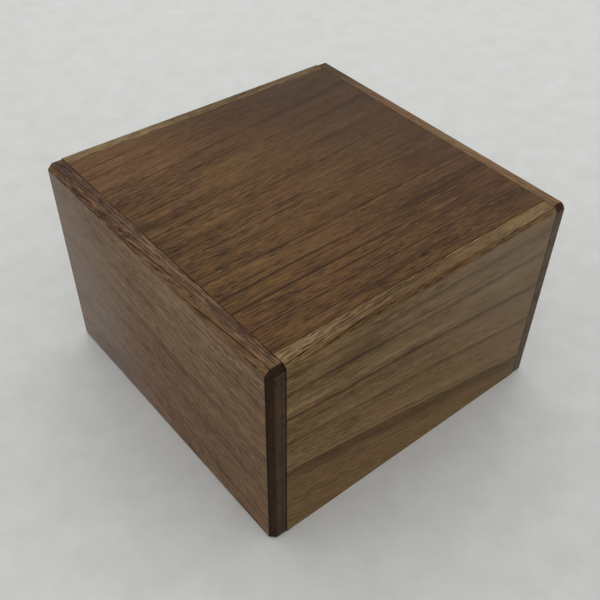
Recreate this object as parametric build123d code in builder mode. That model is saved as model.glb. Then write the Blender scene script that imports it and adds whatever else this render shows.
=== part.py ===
from build123d import *

import os
from math import atan2, degrees, hypot

# Japanese puzzle box, built board by board in millimetres.
# The origin is the middle of the underside. +X runs to the right end panel, +Y to the back, +Z up.
# The top and back boards are one lid, which slides back over the carcass. A pin in each of its cleats
# rides in a slanted groove in an end panel, so both end panels rise on their rails as the lid slides.
# A key strip in the bottom slides across into the notch of a keeper under the lid and locks the box.

# Overall size
box_width = 100
box_depth = 100
box_height = 64

# Board thicknesses
end_panel_thickness = 4.6
front_panel_thickness = 4.6
back_panel_thickness = 4
top_panel_thickness = 5
bottom_panel_thickness = 4
end_wall_thickness = 3.8
inner_wall_thickness = 3
inner_floor_thickness = 2.5

# Clearances: between boards that slide past each other, above and below them, and round a glued pin
slide_gap = 0.15
head_gap = 0.3
foot_gap = 0.3
glue_gap = 0.05

# Edges that are broken where a hand meets them
end_panel_chamfer = 1.5
foot_chamfer = 0.6
board_chamfer = 1

# Cleats under the lid, and the tongues that hold the lid down
cleat_height = 20.7
tongue_height = 2.6
tongue_reach = 1.3
tongue_drop = 12.7

# Glue block in the lid's inner corner
batten_height = 5
batten_chamfer = 2

# Drive pins, and how far they lift the end panels
pin_diameter = 3
pin_reach = 2.2
pin_back_wall = 0.8
pin_inset = 9.25
pin_drop = 7
pin_chamfer = 0.4
groove_end_margin = 16
panel_rise = 14

# Dovetail rails on the carcass
rail_thickness = 2.3
rail_root_width = 4
rail_face_width = 7
rail_inset = 22
rail_foot_margin = 4
rail_head_margin = 8
rail_lead = 0.6

# Keeper under the lid, tenoned into the back board
keeper_width = 9
keeper_nose = 5
keeper_tenon = 2

# Key strip in the bottom
key_length = 24
key_width = 9.4
key_stem_width = 7
key_setback = 11.8
key_travel = 2.6
key_nose_chamfer = 0.4
thumb_radius = 7
thumb_depth = 0.8

# Faces that the boards share
core_half_width = box_width / 2 - end_panel_thickness - slide_gap
panel_inner_face = box_width / 2 - end_panel_thickness
front_inner = -box_depth / 2 + front_panel_thickness
back_inner = box_depth / 2 - back_panel_thickness
carcass_back = back_inner - slide_gap
carcass_length = carcass_back - front_inner
lid_front = front_inner + slide_gap
lid_underside = box_height - top_panel_thickness
wall_top = lid_underside - head_gap
lining_outer = core_half_width - end_wall_thickness
lining_inner = lining_outer - inner_wall_thickness
lining_front = front_inner + inner_wall_thickness
lining_back = carcass_back - inner_wall_thickness

# Cleats and tongues
cleat_inner = lining_outer + slide_gap
cleat_foot = lid_underside - cleat_height
tongue_tip = cleat_inner - tongue_reach
tongue_middle = lid_underside - tongue_drop
end_wall_top = cleat_foot - head_gap
batten_foot = lid_underside - batten_height

# Drive pins and their slanted grooves
pin_y = lid_front + pin_inset
pin_z = lid_underside - pin_drop
pin_tip = core_half_width + pin_reach
pin_root = cleat_inner + pin_back_wall
groove_end_y = box_depth / 2 - groove_end_margin
lid_travel = groove_end_y - pin_y
groove_width = pin_diameter + 2 * slide_gap
groove_depth = pin_tip + slide_gap - panel_inner_face
groove_angle = degrees(atan2(-panel_rise, lid_travel))

# Rails
rail_y = box_depth / 2 - rail_inset
rail_foot = bottom_panel_thickness + rail_foot_margin
rail_top = end_wall_top - rail_head_margin
rail_face = core_half_width + rail_thickness

# Key strip, released, and the keeper that it locks
key_y = carcass_back - key_setback
key_step = bottom_panel_thickness / 2
key_nose = keeper_width / 2 + slide_gap
keeper_top = bottom_panel_thickness - slide_gap
keeper_notch_front = key_y - key_width / 2 - slide_gap
keeper_front = keeper_notch_front - keeper_nose
keeper_back = back_inner + keeper_tenon


def board(width_from, width_to, depth_from, depth_to, height_from, height_to):
    """A plain board between three pairs of faces, as a builder that more work can be done in."""
    with BuildPart() as blank:
        with BuildSketch(Plane.XY.offset(height_from)):
            with BuildLine():
                Polyline(
                    (width_from, depth_from),
                    (width_to, depth_from),
                    (width_to, depth_to),
                    (width_from, depth_to),
                    close=True,
                )
            make_face()
        extrude(amount=height_to - height_from)
    return blank


def dovetail_outline(middle_y, height, clearance):
    """A rail's outline at a height: root on the end wall, wide face outward, grown by a clearance."""
    with BuildSketch(Plane.XY.offset(height)) as outline:
        with BuildLine():
            Polyline(
                (core_half_width, middle_y - rail_root_width / 2),
                (rail_face, middle_y - rail_face_width / 2),
                (rail_face, middle_y + rail_face_width / 2),
                (core_half_width, middle_y + rail_root_width / 2),
                close=True,
            )
        make_face()
        if clearance:
            offset(amount=clearance, kind=Kind.INTERSECTION)
    return outline.sketch


def key_outline(start_x, clearance):
    """The key's T section, across its length: stem below, wide head above, grown by a clearance."""
    stem = key_stem_width / 2 + clearance
    head = key_width / 2 + clearance
    foot = slide_gap - clearance
    step = key_step - clearance
    top = bottom_panel_thickness - slide_gap + clearance
    with BuildSketch(Plane.YZ.offset(start_x)) as outline:
        with BuildLine():
            Polyline(
                (key_y - stem, foot),
                (key_y + stem, foot),
                (key_y + stem, step),
                (key_y + head, step),
                (key_y + head, top),
                (key_y - head, top),
                (key_y - head, step),
                (key_y - stem, step),
                close=True,
            )
        make_face()
    return outline.sketch


def rail(middle_y):
    """One dovetail rail, with a lead at its upper end where the end panel starts."""
    with BuildPart() as strip:
        extrude(dovetail_outline(middle_y, rail_foot, 0), amount=rail_top - rail_foot)
        head_edges = strip.faces().sort_by(Axis.Z)[-1].edges()
        chamfer(head_edges.sort_by(Axis.X)[1:], length=rail_lead)
    return strip


def mirrored(piece):
    """The left-hand piece of a pair, from the right-hand one."""
    with BuildPart() as copy:
        mirror(piece.part, about=Plane.YZ)
    return copy


def save(node, piece):
    """Labels a finished piece and writes it."""
    piece.part.label = node
    export_step(piece.part, f"parts/{node}.step")


# Right end panel: every edge chamfered but the inner face's, and the foot's less than the others. Two
# dovetail grooves are open at the foot, and a slanted one takes the drive pin
with BuildPart() as right_end_panel:
    with BuildSketch(Plane.YZ.offset(panel_inner_face)):
        with Locations((0, box_height / 2)):
            Rectangle(box_depth, box_height)
    extrude(amount=end_panel_thickness)
    inner_edges = right_end_panel.edges().group_by(Axis.X)[0]
    outer_edges = right_end_panel.edges() - inner_edges
    foot_edges = outer_edges.group_by(Axis.Z)[0]
    chamfer(outer_edges - foot_edges, length=end_panel_chamfer)
    inner_edges = right_end_panel.edges().group_by(Axis.X)[0]
    foot_edges = right_end_panel.edges().group_by(Axis.Z)[0]
    chamfer(foot_edges - inner_edges, length=foot_chamfer)
    for middle_y in (-rail_y, rail_y):
        extrude(
            dovetail_outline(middle_y, 0, slide_gap),
            amount=rail_top + head_gap,
            mode=Mode.SUBTRACT,
        )
    with BuildSketch(Plane.YZ.offset(panel_inner_face)):
        with Locations(((pin_y + groove_end_y) / 2, pin_z - panel_rise / 2)):
            SlotCenterToCenter(hypot(lid_travel, panel_rise), groove_width, rotation=groove_angle)
    extrude(amount=groove_depth, mode=Mode.SUBTRACT)

left_end_panel = mirrored(right_end_panel)

# Rails that the end panels slide on
right_front_rail = rail(-rail_y)
right_back_rail = rail(rail_y)
left_front_rail = mirrored(right_front_rail)
left_back_rail = mirrored(right_back_rail)

# Lid: top board, inset between the four sides
with BuildPart() as top_panel:
    with BuildSketch(Plane.XY.offset(lid_underside)):
        with BuildLine():
            Polyline(
                (-core_half_width, lid_front),
                (core_half_width, lid_front),
                (core_half_width, back_inner),
                (-core_half_width, back_inner),
                close=True,
            )
        make_face()
    extrude(amount=top_panel_thickness)

# Lid: back board, clear of the surface that the box stands on, with the keeper's mortise in its foot
with BuildPart() as back_panel:
    with BuildSketch(Plane.XZ.offset(-back_inner)):
        with Locations((0, (foot_gap + box_height) / 2)):
            Rectangle(2 * core_half_width, box_height - foot_gap)
    extrude(amount=-back_panel_thickness)
    outer_edges = back_panel.faces().sort_by(Axis.Y)[-1].edges()
    chamfer(outer_edges.sort_by(Axis.Z)[-1], length=board_chamfer)
    with BuildSketch(Plane.XZ.offset(-back_inner)):
        with Locations((0, keeper_top / 2)):
            Rectangle(keeper_width + 2 * glue_gap, keeper_top + 2 * glue_gap)
    extrude(amount=-keeper_tenon, mode=Mode.SUBTRACT)

# Lid: keeper, notched on its right side for the key
with BuildPart() as lid_keeper:
    with BuildSketch(Plane.XY.offset(foot_gap)):
        with Locations((0, (keeper_front + keeper_back) / 2)):
            Rectangle(keeper_width, keeper_back - keeper_front)
        with Locations((keeper_width / 2, key_y)):
            Rectangle(2 * key_travel, key_width + 2 * slide_gap, mode=Mode.SUBTRACT)
    extrude(amount=keeper_top - foot_gap)

# Lid: glue block in the corner of top and back boards
with BuildPart() as lid_corner_batten:
    with BuildSketch(Plane.YZ.offset(slide_gap - lining_inner)):
        with BuildLine():
            Polyline(
                (lining_back, lid_underside),
                (lining_back, batten_foot + batten_chamfer),
                (lining_back + batten_chamfer, batten_foot),
                (back_inner, batten_foot),
                (back_inner, lid_underside),
                close=True,
            )
        make_face()
    extrude(amount=2 * (lining_inner - slide_gap))

# Lid: right cleat with its tongue, and the blind hole for the drive pin
with BuildPart() as lid_right_cleat:
    with BuildSketch(Plane.XZ.offset(-back_inner)):
        with BuildLine():
            Polyline(
                (core_half_width, cleat_foot),
                (core_half_width, lid_underside),
                (cleat_inner, lid_underside),
                (cleat_inner, tongue_middle + tongue_height / 2),
                (tongue_tip, tongue_middle + tongue_height / 2),
                (tongue_tip, tongue_middle - tongue_height / 2),
                (cleat_inner, tongue_middle - tongue_height / 2),
                (cleat_inner, cleat_foot),
                close=True,
            )
        make_face()
    extrude(amount=back_inner - lid_front)
    with Locations(Plane(origin=(core_half_width, pin_y, pin_z), z_dir=(1, 0, 0))):
        Hole(pin_diameter / 2 + glue_gap, depth=core_half_width - pin_root)

lid_left_cleat = mirrored(lid_right_cleat)

# Lid: right drive pin
with BuildPart() as right_drive_pin:
    with BuildSketch(Plane.YZ.offset(pin_root)):
        with Locations((pin_y, pin_z)):
            Circle(pin_diameter / 2)
    extrude(amount=pin_tip - pin_root)
    chamfer(right_drive_pin.faces().sort_by(Axis.X)[-1].edges(), length=pin_chamfer)

left_drive_pin = mirrored(right_drive_pin)

# Carcass: front board, with its upper outer edge broken
with BuildPart() as front_panel:
    with BuildSketch(Plane.XZ.offset(-front_inner)):
        with Locations((0, box_height / 2)):
            Rectangle(2 * core_half_width, box_height)
    extrude(amount=front_panel_thickness)
    outer_edges = front_panel.faces().sort_by(Axis.Y)[0].edges()
    chamfer(outer_edges.sort_by(Axis.Z)[-1], length=board_chamfer)

# Carcass: bottom board, slotted from its back edge for the keeper, with the key's stepped slot across
with BuildPart() as bottom_panel:
    with BuildSketch():
        with Locations((0, (front_inner + carcass_back) / 2)):
            Rectangle(2 * core_half_width, carcass_length)
        with Locations((0, (keeper_front - slide_gap + carcass_back) / 2)):
            Rectangle(2 * key_nose, carcass_back - keeper_front + slide_gap, mode=Mode.SUBTRACT)
    extrude(amount=bottom_panel_thickness)
    key_slot = key_outline(key_nose - slide_gap, slide_gap)
    extrude(key_slot, amount=key_length + 2 * slide_gap, mode=Mode.SUBTRACT)

# Key strip, with a thumb scoop in its foot and a broken edge at the end that enters the keeper
with BuildPart() as bottom_key:
    extrude(key_outline(key_nose, 0), amount=key_length)
    nose_edges = bottom_key.faces().sort_by(Axis.X)[0].edges()
    chamfer(nose_edges, length=key_nose_chamfer)
    with BuildSketch(Plane.XZ.offset(-key_y)):
        with Locations((key_nose + key_length / 2, slide_gap + thumb_depth - thumb_radius)):
            Circle(thumb_radius)
    extrude(amount=key_stem_width / 2, both=True, mode=Mode.SUBTRACT)

# Carcass: right end wall, low enough for the cleat to pass over it
with BuildPart() as right_end_wall:
    with BuildSketch(Plane.YZ.offset(lining_outer)):
        with BuildLine():
            Polyline(
                (front_inner, bottom_panel_thickness),
                (carcass_back, bottom_panel_thickness),
                (carcass_back, end_wall_top),
                (front_inner, end_wall_top),
                close=True,
            )
        make_face()
    extrude(amount=end_wall_thickness)

left_end_wall = mirrored(right_end_wall)

# Lining: right wall, grooved along its outer face for the cleat's tongue
with BuildPart() as inner_right_wall:
    with BuildSketch(Plane.XZ.offset(-carcass_back)):
        with BuildLine():
            Polyline(
                (lining_inner, bottom_panel_thickness),
                (lining_outer, bottom_panel_thickness),
                (lining_outer, tongue_middle - tongue_height / 2 - slide_gap),
                (tongue_tip - slide_gap, tongue_middle - tongue_height / 2 - slide_gap),
                (tongue_tip - slide_gap, tongue_middle + tongue_height / 2 + slide_gap),
                (lining_outer, tongue_middle + tongue_height / 2 + slide_gap),
                (lining_outer, wall_top),
                (lining_inner, wall_top),
                close=True,
            )
        make_face()
    extrude(amount=carcass_length)

inner_left_wall = mirrored(inner_right_wall)

# Lining: front wall, back wall below the lid's glue block, and floor
inner_front_wall = board(
    -lining_inner,
    lining_inner,
    front_inner,
    lining_front,
    bottom_panel_thickness,
    wall_top,
)
inner_back_wall = board(
    -lining_inner,
    lining_inner,
    lining_back,
    carcass_back,
    bottom_panel_thickness,
    batten_foot - head_gap,
)
inner_floor = board(
    -lining_inner,
    lining_inner,
    lining_front,
    lining_back,
    bottom_panel_thickness,
    bottom_panel_thickness + inner_floor_thickness,
)

os.makedirs("parts", exist_ok=True)
save("top_panel", top_panel)
save("back_panel", back_panel)
save("lid_keeper", lid_keeper)
save("lid_corner_batten", lid_corner_batten)
save("lid_left_cleat", lid_left_cleat)
save("lid_right_cleat", lid_right_cleat)
save("left_drive_pin", left_drive_pin)
save("right_drive_pin", right_drive_pin)
save("left_end_panel", left_end_panel)
save("right_end_panel", right_end_panel)
save("front_panel", front_panel)
save("bottom_panel", bottom_panel)
save("bottom_key", bottom_key)
save("left_end_wall", left_end_wall)
save("right_end_wall", right_end_wall)
save("inner_left_wall", inner_left_wall)
save("inner_right_wall", inner_right_wall)
save("inner_front_wall", inner_front_wall)
save("inner_back_wall", inner_back_wall)
save("inner_floor", inner_floor)
save("left_front_rail", left_front_rail)
save("left_back_rail", left_back_rail)
save("right_front_rail", right_front_rail)
save("right_back_rail", right_back_rail)
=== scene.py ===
from collections import namedtuple

import bpy
from mathutils import Matrix, Vector

# Looks of the puzzle box around its CAD frame. Blender works in metres, in the frame of the CAD model.
# Wood is solid texture: each board has its own grain direction, and its pattern runs through faces,
# chamfers and end grain alike. Lengths in the wood's description are millimetres of real wood, measured
# as u along the grain, v across it and w through the board.

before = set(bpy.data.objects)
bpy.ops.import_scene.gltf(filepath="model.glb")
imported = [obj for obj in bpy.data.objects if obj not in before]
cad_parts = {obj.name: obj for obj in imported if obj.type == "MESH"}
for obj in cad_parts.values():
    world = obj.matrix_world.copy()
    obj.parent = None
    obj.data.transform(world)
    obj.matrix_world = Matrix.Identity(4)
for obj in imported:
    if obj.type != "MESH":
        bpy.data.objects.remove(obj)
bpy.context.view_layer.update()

MM_PER_M = 1000
WHITE = (1.0, 1.0, 1.0)

# Camera, solved from the photograph's outlines and joints, as an image of 600 by 600 pixels
IMAGE_SIZE = 600
SENSOR_MM = 36
FOCAL_PX = 826.65
PRINCIPAL_PX = (327.70, 327.52)
CAMERA_PLACE = (-0.118115, -0.143012, 0.191348)
CAMERA_RIGHT = (0.763007, -0.645532, 0.033319)
CAMERA_UP = (0.433917, 0.549721, 0.713802)
CAMERA_LOOK = (0.479096, 0.530187, -0.699546)
CAMERA_NEAR = 0.005

# Broken arrises and the weld before them, in metres
PANEL_ARRIS = 0.0002
BOARD_ARRIS = 0.00006
FRONT_ARRIS = 0.0001
INNER_ARRIS = 0.0002
WELD_DISTANCE = 1e-6
ARRIS_SEGMENTS = 3
ARRIS_ANGLE = 0.35  # the least turn, in radians, of an edge that is broken

# Noise comes out of its node as 0 to 1. It is stretched to this span about 0, and a seed moves it by this
# step times the seed.
NOISE_SPAN = 4.0
SEED_STEP = (1.0, 1.7, 2.3)

# Threads: the part of its cell that one may lie in, the noise between which it fades in, what makes a second
# random number of a cell's first, and how far apart the noise of two cells is
THREAD_PLACE = (0.25, 0.75)
THREAD_SHOWS = (-0.3, 0.5)
THREAD_DICE = 13.7
THREAD_CELL_STEP = 3.7

# What a board's textures add to its seed
SEEDS = {
    "wander": 0.0,
    "ripple": 1.0,
    "band": 3.0,
    "mottle": 5.0,
    "streak": 7.0,
    "fibre": 11.0,
    "thread": 13.0,
    "crowd": 17.0,
    "hue": 19.0,
    "pore": 23.0,
    "busy": 29.0,
    "saw": 37.0,
}
THREAD_SEED_STEP = 2.7

# A surface's look depends on the cosine between its normal and the way through the board, or the grain.
# It passes from one look to the next between these two values.
BROAD_FACE = (0.8, 0.85)
# PAINTED_SHEEN_FACE: how squarely a face must look through the board to take the painted sheen
PAINTED_SHEEN_FACE = (0.75, 0.95)
END_FACE_OR_SIDE = (0.9, 0.6)

EDGE_WANDER = 0.3  # how far the grain's lines wander on a board's edges
BUSY_RANGE = (-0.5, 0.6)  # where the noise passes from a quiet patch of grain to a busy one
STREAK_LEAST = 0.75  # what is left of the streaks where the grain has calmed down altogether
END_GRAIN_LINES = 0.25  # what end grain shows of the grain's lines, besides its saw marks
FIBRE_HEIGHT = 0.35  # as a share of the pores' depth
RELIEF_DEPTH = 0.00004  # in metres
STREAK_ROUGHNESS = 0.05
PORE_ROUGHNESS = 0.15
LINE_END = 12.0  # how far a growth line takes to fade out along the grain
ANY_REACH = 1000.0  # a patch's reach in a direction where its place doesn't matter

# A growth line, dark where the grain's level is at + bend * u * u. It takes edge to reach its darkness from
# above and fade to lose it below, and goes from start to end along u, or all along the board.
GrowthLine = namedtuple("GrowthLine", "at edge fade darkness start end bend", defaults=(None, None, 0.0))

# A soft oval that makes the wood lighter and redder. Its place and its reach are along and across the
# board, and through it as well if the oval doesn't run all through.
Patch = namedtuple("Patch", "at reach lighter redder")

# A change over the board, from 0 where along * u + across * v is start, to 1 where it is end
Change = namedtuple("Change", "along across start end")


class Graph:
    """A material's node tree, with short calls that add a node and wire it."""

    def __init__(self, name):
        self.material = bpy.data.materials.new(name)
        self.material.use_nodes = True
        self.tree = self.material.node_tree
        self.tree.nodes.clear()

    def node(self, kind, inputs=(), **settings):
        """Adds a node with these settings, and feeds its inputs, by name or number."""
        node = self.tree.nodes.new(kind)
        for key, value in settings.items():
            setattr(node, key, value)
        for key, value in dict(inputs).items():
            if isinstance(value, bpy.types.NodeSocket):
                self.tree.links.new(value, node.inputs[key])
            else:
                node.inputs[key].default_value = value
        return node

    def math(self, operation, a, b=0.0, c=0.0):
        return self.node("ShaderNodeMath", {0: a, 1: b, 2: c}, operation=operation).outputs[0]

    def blend(self, factor, a, b):
        """a where the factor is 0, and b where it is 1."""
        return self.math("MULTIPLY_ADD", factor, self.math("SUBTRACT", b, a), a)

    def dot(self, a, b):
        node = self.node("ShaderNodeVectorMath", {0: a, 1: b}, operation="DOT_PRODUCT")
        return node.outputs["Value"]

    def times(self, a, b):
        return self.node("ShaderNodeVectorMath", {0: a, 1: b}, operation="MULTIPLY").outputs[0]

    def plus(self, a, b):
        return self.node("ShaderNodeVectorMath", {0: a, 1: b}, operation="ADD").outputs[0]

    def vector(self, x, y, z):
        return self.node("ShaderNodeCombineXYZ", {0: x, 1: y, 2: z}).outputs[0]

    def smooth(self, value, low, high):
        """0 at low and before it, 1 at high and past it, and an eased step between them."""
        inputs = {"Value": value, "From Min": low, "From Max": high}
        node = self.node("ShaderNodeMapRange", inputs, interpolation_type="SMOOTHSTEP")
        return node.outputs["Result"]

    def ramp(self, value, stops):
        """A colour ramp from a list of (place, (red, green, blue))."""
        node = self.node("ShaderNodeValToRGB", {0: value})
        elements = node.color_ramp.elements
        while len(elements) < len(stops):
            elements.new(0.5)
        for element, (place, colour) in zip(elements, stops):
            element.position = place
            element.color = (*colour, 1.0)
        return node.outputs[0]

    def mix(self, factor, a, b, blend="MIX"):
        node = self.node("ShaderNodeMix", data_type="RGBA", blend_type=blend)
        for socket, value in zip((node.inputs[0], node.inputs[6], node.inputs[7]), (factor, a, b)):
            if isinstance(value, bpy.types.NodeSocket):
                self.tree.links.new(value, socket)
            else:
                socket.default_value = value if isinstance(value, float) else (*value, 1.0)
        return node.outputs[2]

    def tint(self, colour, by):
        return self.mix(1.0, colour, by, "MULTIPLY")

    def noise(self, grain, size, seed=0.0, detail=2.0, roughness=0.5):
        """Noise about 0, mostly from -1 to 1, whose lumps have this size along, across and through the
        grain."""
        scaled = self.times(grain, tuple(1 / s for s in size))
        moved = self.plus(scaled, tuple(seed * step for step in SEED_STEP))
        inputs = {"Vector": moved, "Scale": 1.0, "Detail": detail, "Roughness": roughness}
        fac = self.node("ShaderNodeTexNoise", inputs).outputs["Fac"]
        return self.math("MULTIPLY_ADD", fac, NOISE_SPAN, -NOISE_SPAN / 2)

    def thread(self, u, level, spacing, width, run, seed):
        """Thin lines along the grain, one in each spacing, of random strength, which come and go along u."""
        phase = self.math("MULTIPLY_ADD", level, 1 / spacing, seed)
        cell = self.math("FLOOR", phase)
        dice = self.node("ShaderNodeTexWhiteNoise", {"W": cell}, noise_dimensions="1D").outputs["Value"]
        within = self.math("SUBTRACT", self.math("FRACT", phase), self.blend(dice, *THREAD_PLACE))
        line = self.smooth(self.math("ABSOLUTE", within), width / spacing, 0.0)
        strong = self.math("FRACT", self.math("MULTIPLY", dice, THREAD_DICE))
        strong = self.math("MULTIPLY", strong, strong)
        along_run = self.math("MULTIPLY", u, 1 / run)
        run_place = self.vector(along_run, self.math("MULTIPLY", cell, THREAD_CELL_STEP), seed)
        present = self.smooth(self.noise(run_place, (1.0, 1.0, 1.0), detail=1.0), *THREAD_SHOWS)
        return self.math("MULTIPLY", self.math("MULTIPLY", line, strong), present)

    def progress(self, change, u, v):
        """How far a change has gone, from 0 to 1."""
        far = self.math("MULTIPLY_ADD", v, change.across, self.math("MULTIPLY", u, change.along))
        return self.smooth(far, change.start, change.end)

    def shade(self, inputs):
        """Ends the material in a Principled shader with these inputs."""
        shader = self.node("ShaderNodeBsdfPrincipled", inputs)
        output = self.node("ShaderNodeOutputMaterial")
        self.tree.links.new(shader.outputs[0], output.inputs[0])


def unit(vector):
    return Vector(vector).normalized()


def growth_lines(g, tone, lines, u, level):
    """The tone with growth lines laid over it."""
    for line in lines:
        path = g.math("MULTIPLY_ADD", g.math("MULTIPLY", u, u), line.bend, line.at)
        offset = g.math("SUBTRACT", level, path)
        above = g.smooth(offset, line.edge, 0.0)
        below = g.smooth(offset, -line.fade, 0.0)
        near = g.math("MULTIPLY", above, below)
        if line.start is not None:
            near = g.math("MULTIPLY", near, g.smooth(u, line.start, line.start + LINE_END))
        if line.end is not None:
            near = g.math("MULTIPLY", near, g.smooth(u, line.end, line.end - LINE_END))
        tone = g.math("MULTIPLY_ADD", near, -line.darkness, tone)
    return tone


def wood(name, along, across, tones, seed, look, fan=(0.0, 0.0), lines=(), patches=(), calm=None, painted_sheen=None):
    """A board's wood. along and across are the grain's directions in the row frame, and tones its colours
    from dark to light.
    fan: the grain's slope where v is 0, and what it gains with each mm of v.
    lines and patches: the board's own growth lines and patches.
    calm: a change over which the grain grows fainter, and the strength that is left at its end.
    painted_sheen: a painted sheen, a reflection tint laid over the board's broad faces: the change over
    which it grows, its share at the change's end, and its colour."""
    g = Graph(name)
    coordinates = g.node("ShaderNodeTexCoord")
    place, normal = coordinates.outputs["Object"], coordinates.outputs["Normal"]
    along = unit(along)
    across = (unit(across) - along * along.dot(unit(across))).normalized()
    through = along.cross(across)
    u, v, w = (g.dot(place, tuple(axis * MM_PER_M)) for axis in (along, across, through))
    straight = g.vector(u, v, w)
    face = g.math("ABSOLUTE", g.dot(normal, tuple(through)))
    end_grain = g.math("ABSOLUTE", g.dot(normal, tuple(along)))
    broad = g.smooth(face, *BROAD_FACE)

    def texture(kind, where, **settings):
        return g.noise(where, look[kind + "_size"], seed + SEEDS[kind], **settings)

    # The fan: lines of the grain spread from one end of the board to the other. On a board's edges they
    # follow the edge instead.
    slope, spread = fan
    level = g.math("MULTIPLY_ADD", u, -slope, v)
    level = g.math("DIVIDE", level, g.math("MULTIPLY_ADD", u, spread, 1.0))
    wander = texture("wander", straight)
    level = g.math("MULTIPLY_ADD", wander, look["wander"], level)
    level = g.math("MULTIPLY_ADD", texture("ripple", straight), look["ripple"], level)
    side = g.math("MULTIPLY_ADD", u, look["edge_slope"], w)
    side = g.math("MULTIPLY_ADD", wander, EDGE_WANDER, side)
    across_grain = g.blend(broad, side, level)
    grain = g.vector(u, across_grain, g.blend(broad, v, w))

    strength = 1.0
    if calm:
        change, least = calm
        strength = g.math("MULTIPLY_ADD", g.progress(change, u, v), least - 1.0, 1.0)

    # Soft bands and mottling, then streaks, fibres and threads, which are busier in some patches
    tone = g.math("MULTIPLY_ADD", texture("band", grain, detail=3.0, roughness=0.55), look["band"], 0.5)
    tone = g.math("MULTIPLY_ADD", texture("mottle", grain), look["mottle"], tone)
    busy = g.smooth(texture("busy", grain), *BUSY_RANGE)
    busy = g.math("MULTIPLY_ADD", busy, 1.0 - look["quiet"], look["quiet"])
    streaks = texture("streak", grain, detail=5.0, roughness=look["streak_grit"])
    fibres = texture("fibre", grain, roughness=0.6)
    coarse = g.math("MULTIPLY", g.math("MULTIPLY", streaks, look["streak"]), busy)
    fine = g.math("MULTIPLY", g.math("MULTIPLY", fibres, look["fibre"]), busy)
    for number, (spacing, width, run, darkness) in enumerate(look["threads"]):
        thread_seed = seed + SEEDS["thread"] + THREAD_SEED_STEP * number
        thread = g.thread(u, across_grain, spacing, width, run, thread_seed)
        fine = g.math("MULTIPLY_ADD", g.math("MULTIPLY", thread, busy), -darkness, fine)
    coarse = g.math("MULTIPLY", coarse, g.blend(strength, STREAK_LEAST, 1.0))
    fine = g.math("MULTIPLY_ADD", fine, strength, coarse)
    fine = g.math("MULTIPLY", fine, g.blend(broad, look["edge_contrast"], 1.0))
    sawn = g.math("MULTIPLY", fine, END_GRAIN_LINES)
    sawn = g.math("MULTIPLY_ADD", texture("saw", straight, roughness=0.6), look["saw"], sawn)
    fine = g.blend(g.smooth(end_grain, *END_FACE_OR_SIDE), sawn, fine)
    tone = g.math("ADD", fine, tone)
    tone = growth_lines(g, tone, lines, u, level)

    redness = g.math("MULTIPLY_ADD", texture("hue", grain), look["hue"], 0.5)
    for patch in patches:
        middle = (*patch.at, 0.0)[:3]
        reach = (*patch.reach, ANY_REACH)[:3]
        offset = g.plus(straight, tuple(-m for m in middle))
        offset = g.times(offset, tuple(1 / r for r in reach))
        distance = g.node("ShaderNodeVectorMath", {0: offset}, operation="LENGTH").outputs["Value"]
        near = g.smooth(distance, 1.0, 0.0)
        tone = g.math("MULTIPLY_ADD", near, patch.lighter, tone)
        redness = g.math("MULTIPLY_ADD", near, patch.redder, redness)
    colour = g.tint(g.ramp(tone, tones), g.ramp(redness, [(0.0, look["gold"]), (1.0, look["red"])]))
    # Painted sheen: a reflection tint painted over the broad faces, growing along its change
    if painted_sheen:
        change, most, painted_sheen_colour = painted_sheen
        painted_sheen_share = g.math("MULTIPLY", g.progress(change, u, v), most)
        painted_sheen_share = g.math("MULTIPLY", painted_sheen_share, g.smooth(face, *PAINTED_SHEEN_FACE))
        colour = g.mix(painted_sheen_share, colour, painted_sheen_colour)

    # Pores: short dark dashes, which crowd together in some patches
    limit = g.math("MULTIPLY_ADD", texture("crowd", grain), -look["crowd"], look["pore_limit"])
    dashes = texture("pore", grain, detail=1.0)
    pores = g.smooth(g.math("SUBTRACT", dashes, limit), 0.0, look["pore_edge"])
    depth = g.math("MULTIPLY", g.math("MULTIPLY", strength, strength), look["pore"])
    if look["edge_pore"]:
        depth = g.blend(face, look["pore"] * (1.0 + look["edge_pore"]), depth)
    depth = g.math("MINIMUM", g.math("MULTIPLY", pores, depth), 1.0)
    colour = g.mix(depth, colour, look["pore_colour"])

    # End grain and its chamfers are darker than the boards' faces, and their edges may be too. Some looks
    # also paint shade on their chamfers, and a painted reflection on the right end panel's end faces.
    colour = g.tint(colour, g.ramp(end_grain, look["end_shades"]))
    colour = g.tint(colour, g.ramp(face, look["edge_shades"]))

    height = g.math("MULTIPLY_ADD", pores, -1.0, g.math("MULTIPLY", fibres, FIBRE_HEIGHT))
    relief = {"Height": height, "Strength": look["relief"], "Distance": RELIEF_DEPTH}
    bump = g.node("ShaderNodeBump", relief)
    rough = g.math("MULTIPLY_ADD", streaks, STREAK_ROUGHNESS, look["roughness"])
    rough = g.math("MULTIPLY_ADD", pores, PORE_ROUGHNESS, rough)
    g.shade({
        "Base Color": colour,
        "Roughness": rough,
        "Normal": bump.outputs[0],
        "Specular IOR Level": look["gloss"],
    })
    return g.material


END_FACE = (0.48, 0.465, 0.44)
END_CHAMFER = (0.23, 0.165, 0.12)


def end_shades(end_face):
    """Shades from a board's sides to its end grain's chamfers and end faces."""
    return [(0.4, WHITE), (0.54, END_CHAMFER), (0.82, END_CHAMFER), (0.92, end_face)]


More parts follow.
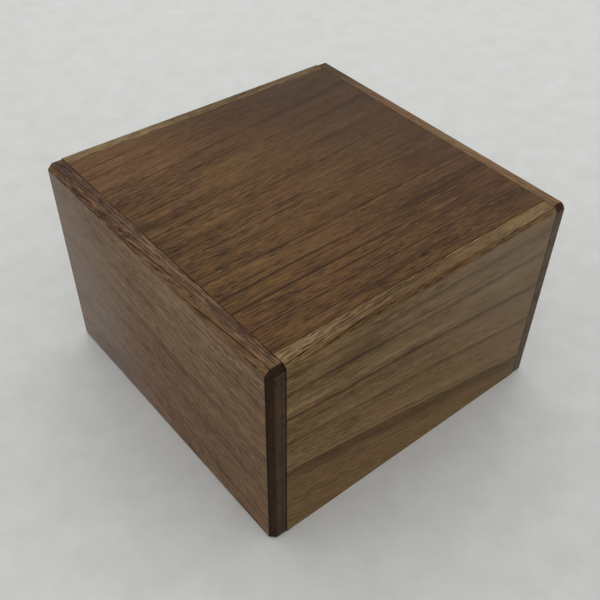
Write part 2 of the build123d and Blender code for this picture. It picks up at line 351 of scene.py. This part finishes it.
# Sizes are along, across and through the grain, and threads are (spacing, width, run, darkness)
WALNUT_LOOK = {
    "wander_size": (90.0, 25.0, 25.0),
    "wander": 0.6,
    "ripple_size": (14.0, 4.0, 4.0),
    "ripple": 0.12,
    "band_size": (150.0, 8.0, 8.0),
    "band": 0.17,
    "mottle_size": (18.0, 2.2, 2.2),
    "mottle": 0.15,
    "streak_size": (120.0, 1.1, 2.0),
    "streak_grit": 0.85,
    "streak": 0.14,
    "busy_size": (50.0, 6.0, 6.0),
    "quiet": 0.5,
    "fibre_size": (5.0, 0.18, 0.4),
    "fibre": 0.3,
    "threads": [
        (2.3, 0.22, 20.0, 2.4),
        (1.0, 0.17, 8.0, 2.6),
        (0.5, 0.14, 3.5, 2.6),
        (0.8, 0.15, 5.0, -1.7),
    ],
    "edge_slope": 0.06,
    "edge_contrast": 1.0,
    "saw_size": (50.0, 0.25, 3.0),
    "saw": 0.16,
    "hue_size": (20.0, 4.0, 4.0),
    "hue": 0.55,
    "gold": (0.98, 1.01, 0.92),
    "red": (1.07, 0.95, 0.97),
    "crowd_size": (18.0, 4.0, 4.0),
    "crowd": 0.5,
    "pore_size": (4.5, 0.14, 0.3),
    "pore_limit": 0.38,
    "pore_edge": 0.2,
    "pore": 1.0,
    "edge_pore": 0.0,
    "pore_colour": (0.02, 0.011, 0.007),
    "end_shades": end_shades(END_FACE),
    "edge_shades": [(0.0, WHITE), (1.0, WHITE)],
    "roughness": 0.5,
    "gloss": 0.1,
    "relief": 0.6,
}

TOP_TONES = [
    (0.0, (0.0343, 0.0152, 0.0052)),
    (0.2, (0.0709, 0.0335, 0.0099)),
    (0.35, (0.0881, 0.0433, 0.0142)),
    (0.5, (0.103, 0.0519, 0.0176)),
    (0.65, (0.119, 0.0617, 0.0219)),
    (0.8, (0.1384, 0.0747, 0.0284)),
    (1.0, (0.1716, 0.0995, 0.0413)),
]
END_TONES = [
    (0.0, (0.0659, 0.0373, 0.0203)),
    (0.2, (0.1147, 0.0664, 0.0365)),
    (0.35, (0.1424, 0.0849, 0.046)),
    (0.5, (0.1661, 0.101, 0.0554)),
    (0.65, (0.1925, 0.1196, 0.0663)),
    (0.8, (0.2241, 0.1434, 0.0811)),
    (1.0, (0.2768, 0.1859, 0.1109)),
]
SIDE_TONES = [
    (0.0, (0.0541, 0.0288, 0.0126)),
    (0.2, (0.1023, 0.06, 0.0239)),
    (0.35, (0.1323, 0.0805, 0.0327)),
    (0.5, (0.1562, 0.0986, 0.0415)),
    (0.65, (0.1803, 0.1177, 0.0529)),
    (0.8, (0.2103, 0.1442, 0.0679)),
    (1.0, (0.2645, 0.1922, 0.1007)),
]
TOP_LOOK = dict(
    WALNUT_LOOK,
    streak=0.16,
    quiet=0.4,
    fibre_size=(3.5, 0.18, 0.4),
    fibre=0.4,
    threads=[(2.3, 0.22, 20.0, 3.2), (1.0, 0.17, 7.0, 3.4), (0.5, 0.14, 2.6, 3.7), (0.8, 0.15, 4.0, -2.5)],
    gold=(1.04, 1.02, 0.83),
    red=(1.06, 0.96, 1.0),
)
# Painted shade: the front and back boards' chamfers are darkened as if they lay in shade
SIDE_CHAMFER_SHADE = (0.77, 0.72, 0.66)
SIDE_LOOK = dict(
    WALNUT_LOOK,
    ripple_size=(10.0, 4.0, 4.0),
    ripple=0.3,
    band=0.08,
    mottle=0.1,
    streak=0.1,
    fibre_size=(3.0, 0.18, 0.4),
    threads=[(2.3, 0.2, 14.0, 1.7), (1.0, 0.16, 5.0, 2.1), (0.5, 0.13, 2.2, 2.3), (0.8, 0.14, 3.0, -1.7)],
    edge_contrast=1.5,
    pore=0.75,
    edge_shades=[(0.35, WHITE), (0.55, SIDE_CHAMFER_SHADE), (0.82, SIDE_CHAMFER_SHADE), (0.95, WHITE)],
)
END_LOOK = dict(
    WALNUT_LOOK,
    ripple_size=(7.0, 2.5, 2.5),
    ripple=0.24,
    band=0.1,
    mottle=0.12,
    streak=0.15,
    fibre=0.4,
    threads=[(1.1, 0.18, 6.0, 2.6), (0.6, 0.15, 4.0, 2.9), (0.4, 0.13, 2.5, 2.5), (0.8, 0.15, 4.0, -1.7)],
    edge_slope=0.1,
    edge_contrast=3.0,
    saw_size=(50.0, 0.35, 3.0),
    saw=0.34,
    crowd=0.35,
    pore=0.6,
    edge_pore=0.6,
    edge_shades=[
        (0.0, (0.7, 0.64, 0.62)),
        (0.45, (0.7, 0.64, 0.6)),
        (0.7, (0.68, 0.61, 0.53)),
        (0.95, WHITE),
    ],
)
RIGHT_EDGE = (0.95, 0.87, 0.76)
# Painted shade: the right end panel's chamfers are darkened as if they lay in shade
RIGHT_CHAMFER_SHADE = (0.55, 0.5, 0.44)
# The right end panel's end faces: an end grain tint with a painted bluish-grey reflection
RIGHT_END_FACE_AND_REFLECTION = (0.57, 0.78, 1.08)
RIGHT_END_LOOK = dict(
    END_LOOK,
    edge_contrast=0.9,
    edge_pore=-0.5,
    edge_shades=[(0.5, RIGHT_EDGE), (0.65, RIGHT_CHAMFER_SHADE), (0.8, RIGHT_CHAMFER_SHADE), (0.95, WHITE)],
    end_shades=end_shades(RIGHT_END_FACE_AND_REFLECTION),
)

top_wood = wood(
    "walnut_top",
    along=(1.0, 0.0, 0.0),
    across=(0.0, 1.0, 0.0),
    tones=TOP_TONES,
    seed=2.0,
    look=TOP_LOOK,
    fan=(0.055, 0.0016),
    lines=[
        GrowthLine(-29.8, 0.2, 0.6, 1.5, end=12.0),
        GrowthLine(-24.2, 0.18, 0.5, 1.2, end=-2.0),
        GrowthLine(-37.2, 0.18, 0.5, 0.6),
        GrowthLine(-17.0, 0.18, 0.5, 0.5, start=-8.0),
        GrowthLine(11.0, 0.3, 1.6, 0.25, end=-5.0),
        GrowthLine(0.5, 0.6, 3.5, 0.16, end=-10.0),
        GrowthLine(25.5, 0.3, 1.4, 0.22, end=10.0),
        GrowthLine(31.0, 1.2, 3.0, 0.2, start=0.0),
        GrowthLine(22.0, 0.8, 4.0, 0.26, start=4.0),
        GrowthLine(12.0, 1.0, 3.5, 0.2, start=2.0),
        GrowthLine(-4.0, 0.6, 2.5, 0.14, start=5.0),
        GrowthLine(-23.0, 1.5, 4.5, 0.2, start=12.0),
    ],
    patches=[
        Patch((-15.0, -5.0), (40.0, 22.0), 0.16, -0.15),
        Patch((-8.0, 16.0), (38.0, 11.0), 0.16, -0.1),
        Patch((38.0, -32.0), (24.0, 18.0), -0.22, 0.7),
        Patch((30.0, -8.0), (20.0, 10.0), 0.08, 0.35),
        Patch((38.0, -10.0), (26.0, 36.0), -0.12, 0.1),
        Patch((15.0, -26.0), (28.0, 9.0), -0.42, 0.1),
        Patch((-28.0, -43.0), (16.0, 5.0), 0.25, 0.0),
        Patch((-41.0, -15.0), (8.0, 12.0), 0.16, 0.0),
        Patch((20.0, 38.0), (45.0, 14.0), -0.2, 0.6),
        Patch((-38.0, 34.0), (34.0, 26.0), 0.2, 0.75),
        Patch((-25.0, -36.0), (30.0, 10.0), 0.08, 0.3),
    ],
    calm=(Change(0.9, 0.7, -50.0, 35.0), 0.5),
    # Painted sheen: a dark purplish reflection tint over the back right of the top's broad face
    painted_sheen=(Change(0.8, 0.6, -10.0, 50.0), 0.6, (0.0525, 0.027, 0.0138)),
)
left_end_wood = wood(
    "walnut_left_end",
    along=(-0.05, -1.0, 0.0),
    across=(0.0, 0.0, 1.0),
    tones=END_TONES,
    seed=5.0,
    look=END_LOOK,
    fan=(-0.2, 0.0027),
    lines=[
        GrowthLine(14.0, 0.5, 4.0, 0.16),
        GrowthLine(27.0, 0.4, 3.0, 0.14),
        GrowthLine(38.0, 0.4, 4.0, 0.16),
        GrowthLine(49.0, 0.4, 2.4, 0.12),
    ],
    patches=[
        Patch((-10.0, 8.0), (60.0, 14.0), -0.02, 0.5),
        Patch((15.0, 50.0), (50.0, 18.0), 0.14, -0.2),
        Patch((-40.0, 64.0), (50.0, 3.0), -0.3, 0.3),
        Patch((48.0, 64.0), (9.0, 3.0), 0.45, 0.1),
        Patch((3.0, 64.5), (38.0, 3.0), 0.48, 0.35),
        Patch((-27.0, 4.0), (18.0, 12.0), -0.45, 0.3),
        Patch((10.0, 58.0), (38.0, 7.0), 0.12, -0.3),
    ],
    calm=(Change(-0.9, -0.3, -15.0, 35.0), 0.6),
    # Painted sheen: a pale grey reflection tint over the back end and lower part of the outer face
    painted_sheen=(Change(-0.9, -0.3, -15.0, 35.0), 0.5, (0.248, 0.212, 0.193)),
)
right_end_wood = wood(
    "walnut_right_end",
    along=(0.03, -1.0, 0.0),
    across=(0.0, 0.0, 1.0),
    tones=END_TONES,
    seed=31.0,
    look=RIGHT_END_LOOK,
    fan=(0.05, -0.001),
    lines=[
        GrowthLine(7.0, 0.5, 6.0, 0.26, bend=0.0016),
        GrowthLine(18.5, 0.4, 3.0, 0.2, end=15.0, bend=0.0014),
        GrowthLine(29.0, 0.5, 5.0, 0.28, bend=0.0012),
        GrowthLine(40.5, 0.4, 2.4, 0.2, start=-25.0, bend=0.001),
        GrowthLine(51.0, 0.5, 3.5, 0.22, bend=0.0008),
    ],
    patches=[
        Patch((-45.0, 64.0), (40.0, 3.0), -0.36, -0.55),
        Patch((25.0, 64.0), (45.0, 3.0), 0.24, -0.15),
    ],
)
front_wood = wood(
    "walnut_front",
    along=(1.0, 0.0, 0.0),
    across=(0.0, 0.0, 1.0),
    tones=SIDE_TONES,
    seed=9.0,
    look=SIDE_LOOK,
    fan=(-0.267, 0.0042),
    lines=[
        GrowthLine(17.7, 0.5, 9.0, 0.42),
        GrowthLine(21.5, 4.0, 3.5, -0.14),
        GrowthLine(31.3, 0.4, 2.2, 0.3),
        GrowthLine(42.1, 0.35, 2.4, 0.5),
        GrowthLine(45.0, 3.0, 1.5, -0.26, end=20.0),
        GrowthLine(52.2, 0.4, 2.0, 0.36),
        GrowthLine(59.2, 0.4, 2.2, 0.3),
    ],
    patches=[
        Patch((-30.0, 57.0), (30.0, 10.0), 0.14, -0.4),
        Patch((30.0, 48.0), (25.0, 6.0), 0.12, -0.3),
        Patch((-24.0, 54.5), (16.0, 5.0), -0.45, 0.1),
        Patch((-20.0, 10.0), (40.0, 14.0), -0.02, 0.1),
        Patch((-5.0, 64.0), (45.0, 2.0), -0.12, 0.2),
        Patch((32.0, 63.5), (26.0, 3.0), 0.14, 0.1),
        Patch((-43.0, 64.0), (22.0, 2.0), 0.32, 0.1),
        Patch((-45.35, 0.0), (0.4, ANY_REACH), -0.8, 0.0),
        Patch((45.35, 0.0), (0.4, ANY_REACH), -0.5, 0.0),
        # Painted highlight: a bright glint on the front board's outer top arris
        Patch((14.0, 64.0, 45.5), (10.0, 0.6, 0.5), 1.2, -0.5),
    ],
    calm=(Change(1.0, -1.3, -110.0, 0.0), 0.48),
    # Painted sheen: a pale grey reflection tint over the right and upper part of the outer face
    painted_sheen=(Change(1.0, 0.9, 10.0, 105.0), 0.42, (0.204, 0.16, 0.126)),
)
back_wood = wood(
    "walnut_back",
    along=(1.0, 0.0, 0.0),
    across=(0.0, 0.0, 1.0),
    tones=SIDE_TONES,
    seed=14.0,
    look=SIDE_LOOK,
    fan=(0.09, -0.002),
    lines=[
        GrowthLine(9.0, 0.5, 7.0, 0.26),
        GrowthLine(18.0, 0.35, 2.4, 0.24, end=10.0),
        GrowthLine(33.0, 0.5, 6.0, 0.3),
        GrowthLine(43.5, 0.3, 2.0, 0.22, start=-30.0),
        GrowthLine(55.0, 0.4, 3.6, 0.24),
    ],
    patches=[Patch((-30.0, 64.0), (45.0, 2.0), 0.3, -0.2)],
)
bottom_wood = wood(
    "walnut_bottom",
    along=(1.0, 0.02, 0.0),
    across=(0.0, 1.0, 0.0),
    tones=TOP_TONES,
    seed=21.0,
    look=WALNUT_LOOK,
    fan=(0.03, 0.001),
    lines=[
        GrowthLine(-36.0, 0.4, 3.0, 0.35),
        GrowthLine(-22.0, 0.4, 5.0, 0.3),
        GrowthLine(-9.0, 0.3, 2.2, 0.4),
        GrowthLine(5.0, 0.4, 4.0, 0.26),
        GrowthLine(17.0, 0.3, 2.0, 0.34),
        GrowthLine(31.0, 0.4, 3.4, 0.4),
    ],
)

PALE_TONES = [
    (0.0, (0.3, 0.2, 0.11)),
    (0.35, (0.46, 0.33, 0.2)),
    (0.6, (0.55, 0.42, 0.27)),
    (1.0, (0.63, 0.5, 0.34)),
]
PALE_LOOK = dict(
    WALNUT_LOOK,
    band=0.1,
    streak=0.1,
    fibre=0.06,
    threads=[(2.6, 0.2, 30.0, 0.3), (1.1, 0.16, 12.0, 0.2)],
    hue=0.3,
    pore=0.2,
    pore_colour=(0.25, 0.16, 0.09),
    end_shades=[(0.5, WHITE), (0.9, (0.72, 0.66, 0.6))],
    roughness=0.6,
    gloss=0.2,
)
lining_wood = wood("pale_lining", (1.0, 0.0, 0.01), (0.0, 0.0, 1.0), PALE_TONES, 40.0, PALE_LOOK)
lining_side_wood = wood("pale_lining_side", (0.0, 1.0, 0.01), (0.0, 0.0, 1.0), PALE_TONES, 44.0, PALE_LOOK)
floor_wood = wood("pale_floor", (1.0, 0.0, 0.0), (0.0, 1.0, 0.0), PALE_TONES, 48.0, PALE_LOOK)
frame_wood = wood("pale_frame", (0.0, 1.0, 0.0), (0.0, 0.0, 1.0), PALE_TONES, 52.0, PALE_LOOK)
rail_wood = wood("pale_rail", (0.0, 0.0, 1.0), (0.0, 1.0, 0.0), PALE_TONES, 56.0, PALE_LOOK)
pin_wood = wood("pin_wood", (1.0, 0.0, 0.0), (0.0, 0.0, 1.0), PALE_TONES, 60.0, PALE_LOOK)

finishes = {
    "top_panel": (top_wood, BOARD_ARRIS),
    "left_end_panel": (left_end_wood, PANEL_ARRIS),
    "right_end_panel": (right_end_wood, PANEL_ARRIS),
    "front_panel": (front_wood, FRONT_ARRIS),
    "back_panel": (back_wood, BOARD_ARRIS),
    "bottom_panel": (bottom_wood, BOARD_ARRIS),
    "bottom_key": (bottom_wood, BOARD_ARRIS),
    "lid_keeper": (bottom_wood, BOARD_ARRIS),
    "inner_left_wall": (lining_side_wood, INNER_ARRIS),
    "inner_right_wall": (lining_side_wood, INNER_ARRIS),
    "inner_front_wall": (lining_wood, INNER_ARRIS),
    "inner_back_wall": (lining_wood, INNER_ARRIS),
    "inner_floor": (floor_wood, INNER_ARRIS),
    "left_end_wall": (frame_wood, INNER_ARRIS),
    "right_end_wall": (frame_wood, INNER_ARRIS),
    "lid_left_cleat": (frame_wood, INNER_ARRIS),
    "lid_right_cleat": (frame_wood, INNER_ARRIS),
    "lid_corner_batten": (lining_wood, INNER_ARRIS),
    "left_front_rail": (rail_wood, INNER_ARRIS),
    "left_back_rail": (rail_wood, INNER_ARRIS),
    "right_front_rail": (rail_wood, INNER_ARRIS),
    "right_back_rail": (rail_wood, INNER_ARRIS),
    "left_drive_pin": (pin_wood, INNER_ARRIS),
    "right_drive_pin": (pin_wood, INNER_ARRIS),
}
for node, (finish, arris) in finishes.items():
    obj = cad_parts[node]
    obj.data.materials.clear()
    obj.data.materials.append(finish)
    # The frame's meshes have split corners, and a bevel needs them closed
    weld = obj.modifiers.new("weld", "WELD")
    weld.merge_threshold = WELD_DISTANCE
    bevel = obj.modifiers.new("arris", "BEVEL")
    bevel.width = arris
    bevel.segments = ARRIS_SEGMENTS
    bevel.limit_method = "ANGLE"
    bevel.angle_limit = ARRIS_ANGLE
    bevel.harden_normals = True

# Floor: a pale matt sheet with a faint cloudiness and a few specks, warmer at the near left
FLOOR_REACH = 3.0
FLOOR_TONES = [(0.0, (0.547, 0.552, 0.543)), (1.0, (0.645, 0.652, 0.658))]
FLOOR_ROUGHNESS = 0.45
CLOUD_SIZE = (0.011, 0.011, 0.011)
CLOUD_CONTRAST = 0.36
WARM_SIDE = (-1.0, -0.35, 0.0)
WARM_RANGE = (0.04, 0.2)
WARMTH = (1.1, 1.08, 1.03)
SPECK_SIZE = (0.0011, 0.0011, 0.0011)
SPECK_RANGE = (1.25, 1.6)
SPECK = (0.4, 0.39, 0.37)

mesh = bpy.data.meshes.new("floor")
corners = [(x * FLOOR_REACH, y * FLOOR_REACH, 0.0) for x, y in ((-1, -1), (1, -1), (1, 1), (-1, 1))]
mesh.from_pydata(corners, [], [(0, 1, 2, 3)])
floor = bpy.data.objects.new("floor", mesh)
bpy.context.scene.collection.objects.link(floor)
g = Graph("floor")
place = g.node("ShaderNodeTexCoord").outputs["Object"]
cloud = g.noise(place, CLOUD_SIZE, seed=3.0, detail=4.0, roughness=0.65)
colour = g.ramp(g.math("MULTIPLY_ADD", cloud, CLOUD_CONTRAST, 0.5), FLOOR_TONES)
warm = g.smooth(g.dot(place, WARM_SIDE), *WARM_RANGE)
colour = g.mix(warm, colour, g.tint(colour, WARMTH))
specks = g.noise(place, SPECK_SIZE, seed=8.0, detail=1.0)
colour = g.mix(g.smooth(specks, *SPECK_RANGE), colour, SPECK)
g.shade({"Base Color": colour, "Roughness": FLOOR_ROUGHNESS})
floor.data.materials.append(g.material)

# Light: two wide soft lamps behind the box, each with its place and watts, under an even sky
LAMPS = {"back_left": ((-0.6, 0.7, 0.9), 1.6), "back_right": ((0.7, 0.6, 0.9), 2.7)}
LAMP_TARGET = Vector((0.0, 0.0, 0.03))
LAMP_SIZE = 1.6
LAMP_COLOUR = (0.92, 0.97, 1.0)
SKY_COLOUR = (1.0, 1.0, 0.97)
SKY_STRENGTH = 0.87

for name, (place, watts) in LAMPS.items():
    data = bpy.data.lights.new(name, "AREA")
    data.shape = "SQUARE"
    data.size = LAMP_SIZE
    data.energy = watts
    data.color = LAMP_COLOUR
    lamp = bpy.data.objects.new(name, data)
    lamp.rotation_euler = (LAMP_TARGET - Vector(place)).to_track_quat("-Z", "Y").to_euler()
    lamp.location = place
    bpy.context.scene.collection.objects.link(lamp)

world = bpy.data.worlds.new("studio")
bpy.context.scene.world = world
world.use_nodes = True
background = world.node_tree.nodes["Background"]
background.inputs["Color"].default_value = (*SKY_COLOUR, 1.0)
background.inputs["Strength"].default_value = SKY_STRENGTH

camera_data = bpy.data.cameras.new("camera")
camera_data.sensor_width = SENSOR_MM
camera_data.lens = FOCAL_PX * SENSOR_MM / IMAGE_SIZE
camera_data.shift_x = (IMAGE_SIZE / 2 - PRINCIPAL_PX[0]) / IMAGE_SIZE
camera_data.shift_y = (PRINCIPAL_PX[1] - IMAGE_SIZE / 2) / IMAGE_SIZE
camera_data.clip_start = CAMERA_NEAR
camera = bpy.data.objects.new("camera", camera_data)
bpy.context.scene.collection.objects.link(camera)
turn = Matrix((CAMERA_RIGHT, CAMERA_UP, -Vector(CAMERA_LOOK))).transposed()
camera.matrix_world = Matrix.Translation(CAMERA_PLACE) @ turn.to_4x4()
bpy.context.scene.camera = camera

bpy.context.scene.view_settings.view_transform = "Standard"
